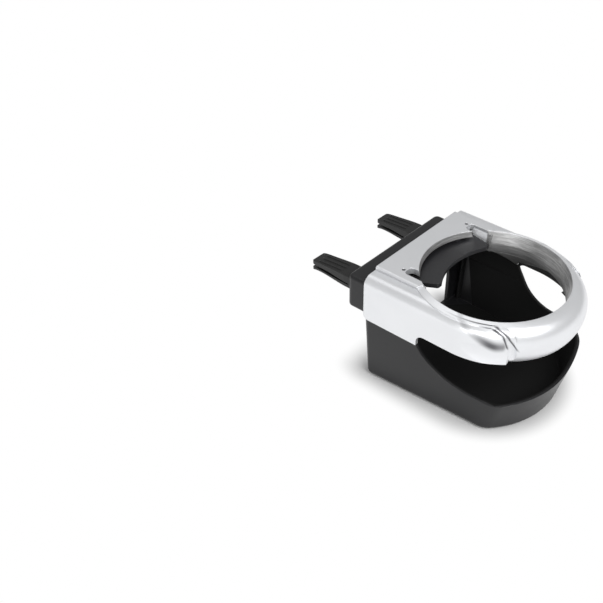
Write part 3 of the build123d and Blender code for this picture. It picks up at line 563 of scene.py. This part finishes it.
def ribRowTree(material):
    tree = bpy.data.node_groups.new("clipRibRows", "GeometryNodeTree")
    for label, kind in (("Rib", "Geometry"), ("Count", "Int"), ("Start", "Vector"), ("Spacing", "Vector")):
        tree.interface.new_socket(label, in_out="INPUT", socket_type="NodeSocket" + kind)
    tree.interface.new_socket("Ribs", in_out="OUTPUT", socket_type="NodeSocketGeometry")
    given = tree.nodes.new("NodeGroupInput")
    row = tree.nodes.new("GeometryNodeMeshLine")
    row.mode = "OFFSET"
    place = tree.nodes.new("GeometryNodeInstanceOnPoints")
    solid = tree.nodes.new("GeometryNodeRealizeInstances")
    paint = tree.nodes.new("GeometryNodeSetMaterial")
    paint.inputs["Material"].default_value = material
    result = tree.nodes.new("NodeGroupOutput")
    for source, target in ((given.outputs["Count"], row.inputs["Count"]),
                           (given.outputs["Start"], row.inputs["Start Location"]),
                           (given.outputs["Spacing"], row.inputs["Offset"]),
                           (row.outputs["Mesh"], place.inputs["Points"]),
                           (given.outputs["Rib"], place.inputs["Instance"]),
                           (place.outputs["Instances"], solid.inputs["Geometry"]),
                           (solid.outputs["Geometry"], paint.inputs["Geometry"]),
                           (paint.outputs["Geometry"], result.inputs["Ribs"])):
        tree.links.new(source, target)
    return tree


def ribSections(clip, middle, root, tip, top, look):  # one rib that follows the jaw's upper face
    sections = []
    for step in range(look["steps"] + 1):
        y = root + (tip - root) * step / look["steps"]
        face = clip.ray_cast(Vector((middle, y, top + look["castFrom"])), Vector((0, 0, -1)))[1].z
        rise = min(1.0, step / look["runOut"], (look["steps"] - step) / look["runOut"])
        base = face - look["sunk"]
        crown = face + look["height"] * rise - look["sunk"] * (1 - rise) * look["buried"]
        sections.append([(-look["width"] / 2, y, base), (look["width"] / 2, y, base),
                         (look["crown"] / 2, y, crown), (-look["crown"] / 2, y, crown)])
    return sections


def clipRibs(node, body, name, tree, look):
    low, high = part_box(node)
    middle = (low[0] + high[0]) / 2
    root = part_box("clip_box")[1][1] + look["start"]
    tip = high[1] - look["end"]
    sections = ribSections(frame["nodes"][node], middle, root, tip, high[2], look)
    piece = addObject(name, skinMesh(name + "Rib", sections))
    rows = piece.modifiers.new("rows", "NODES")
    rows.node_group = tree
    sockets = {item.name: item.identifier for item in tree.interface.items_tree if item.in_out == "INPUT"}
    rows[sockets["Count"]] = look["count"]
    rows[sockets["Start"]] = (middle - look["spacing"] * (look["count"] - 1) / 2, 0.0, 0.0)
    rows[sockets["Spacing"]] = (look["spacing"], 0.0, 0.0)
    bpy.context.view_layer.update()
    done = bpy.data.meshes.new_from_object(piece.evaluated_get(bpy.context.evaluated_depsgraph_get()))
    piece.modifiers.remove(rows)
    piece.data = done
    turnOutwards(done)
    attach(piece, body)


ribRows = ribRowTree(blackFinish["clip"])
clipRibs("left_vent_clip", "left_clip", "leftClipRibs", ribRows, clipRibLook)
clipRibs("right_vent_clip", "right_clip", "rightClipRibs", ribRows, clipRibLook)
print("clip ribs added")


# pale floor: grey near the base's outline, where it keeps the cast shadow and darkens it with painted shadow,
# and seen as white further off
floorLook = {"size": 6.0, "colour": (0.62, 0.62, 0.62, 1), "speck": (0.60, 0.60, 0.60, 1), "speckScale": 4,
             "footRadius": 0.037, "footMiddle": -0.0015, "footRear": 0.0445, "rearShare": 0.6,
             "nearReach": 0.0005, "farReach": 0.0135}


def paleFloor(look):
    half = look["size"] / 2
    mesh = bpy.data.meshes.new("floor")
    corners = [(-half, -half, 0), (half, -half, 0), (half, half, 0), (-half, half, 0)]
    mesh.from_pydata(corners, [], [(0, 1, 2, 3)])
    floor = addObject("floor", mesh)
    floor.location.z = cadBox[0][2]
    material, sheet = startMaterial("paleFloor")
    place = sheet.node("ShaderNodeTexCoord", out="Object")
    colour = noise(sheet, place, look["speckScale"]).mix(look["colour"], look["speck"])
    across, along = place.axes()[:2]
    ahead = (along - look["footMiddle"]).atMost(0.0)
    beside = ((across * across + ahead * ahead) ** 0.5 - look["footRadius"]).atLeast(0.0)
    behind = (along - look["footRear"]).atLeast(0.0) * look["rearShare"]
    reach = (beside * beside + behind * behind) ** 0.5  # distance from the base's outline
    path = sheet.node("ShaderNodeLightPath", out="Is Camera Ray")
    seen = path + path.also("Is Glossy Ray") + path.also("Is Transmission Ray")
    # the grey band round the outline is painted shadow as well as cast shadow
    share = seen * reach.ramp(look["nearReach"], look["farReach"])
    matt = sheet.node("ShaderNodeBsdfDiffuse", None, {"Color": colour})
    glow = sheet.node("ShaderNodeEmission", None, {"Color": (1, 1, 1, 1), "Strength": 1.0})
    both = sheet.node("ShaderNodeMixShader", None, {0: share, 1: matt, 2: glow})
    sheet.node("ShaderNodeOutputMaterial", None, {"Surface": both})
    mesh.materials.append(material)


# soft studio light: two large panels to the left of the camera and in front, and a weak one overhead
lampLooks = {
    "side": {"place": (-1.1, -0.25, 0.35), "size": 0.7, "power": 6.0},
    "front": {"place": (-0.28, -0.70, 0.92), "size": 0.7, "power": 8.5},
    "overhead": {"place": (0.1, 0.3, 1.0), "size": 0.8, "power": 1.2},
}
lampTarget = Vector((0, 0, 0.04))


def studioLamp(name, look):
    lamp = bpy.data.lights.new(name, "AREA")
    lamp.shape = "DISK"
    lamp.size = look["size"]
    lamp.energy = look["power"]
    panel = addObject(name, lamp)
    panel.location = look["place"]
    panel.rotation_euler = (lampTarget - panel.location).to_track_quat("-Z", "Y").to_euler()


# pale room with a slightly brighter ceiling
roomLook = {"walls": 0.42, "ceiling": 0.46, "wallTop": 0.02, "ceilingEdge": 0.40}


def paleRoom(look):
    room = bpy.data.worlds.new("room")
    bpy.context.scene.world = room
    room.use_nodes = True
    room.node_tree.nodes.clear()
    sheet = Wire(room.node_tree)
    height = sheet.node("ShaderNodeTexCoord", out="Generated").axes()[2]
    rise = height.ramp(look["wallTop"], look["ceilingEdge"])
    strength = look["walls"] + rise * (look["ceiling"] - look["walls"])
    sky = sheet.node("ShaderNodeBackground", None, {"Color": (1, 1, 1, 1), "Strength": strength})
    sheet.node("ShaderNodeOutputWorld", None, {"Surface": sky})


paleFloor(floorLook)
for name, look in lampLooks.items():
    studioLamp(name, look)
paleRoom(roomLook)
bpy.context.scene.view_settings.view_transform = "Standard"
print("stage and lamps set")

# camera at the photograph's viewing angle, on the ring's middle: degrees, metres and pixels
photoView = {"azimuth": -62.8, "elevation": 35.48, "roll": 8.1, "distance": 0.380, "focal": 792.7,
             "frame": 603, "aim": (496.4, 273.0), "sensor": 36.0, "clipStart": 0.01}


def photoCamera(view):
    turn, lift, tilt = (math.radians(view[k]) for k in ("azimuth", "elevation", "roll"))
    back = Vector((math.sin(turn) * math.cos(lift), -math.cos(turn) * math.cos(lift), math.sin(lift)))
    right = Vector((math.cos(turn), math.sin(turn), 0))
    up = back.cross(right)
    right, up = right * math.cos(tilt) + up * math.sin(tilt), up * math.cos(tilt) - right * math.sin(tilt)
    ringMiddle = Vector((0, 0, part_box("top_bezel")[1][2]))
    eye = ringMiddle + back * view["distance"]
    lens = bpy.data.cameras.new("photoCamera")
    lens.sensor_width = view["sensor"]
    lens.lens = view["focal"] / view["frame"] * view["sensor"]
    lens.shift_x = (view["frame"] / 2 - view["aim"][0]) / view["frame"]
    lens.shift_y = (view["aim"][1] - view["frame"] / 2) / view["frame"]
    lens.clip_start = view["clipStart"]
    camera = addObject("photoCamera", lens)
    camera.matrix_world = Matrix(((right.x, up.x, back.x, eye.x), (right.y, up.y, back.y, eye.y),
                                  (right.z, up.z, back.z, eye.z), (0, 0, 0, 1)))
    bpy.context.scene.camera = camera


photoCamera(photoView)
print("camera set")
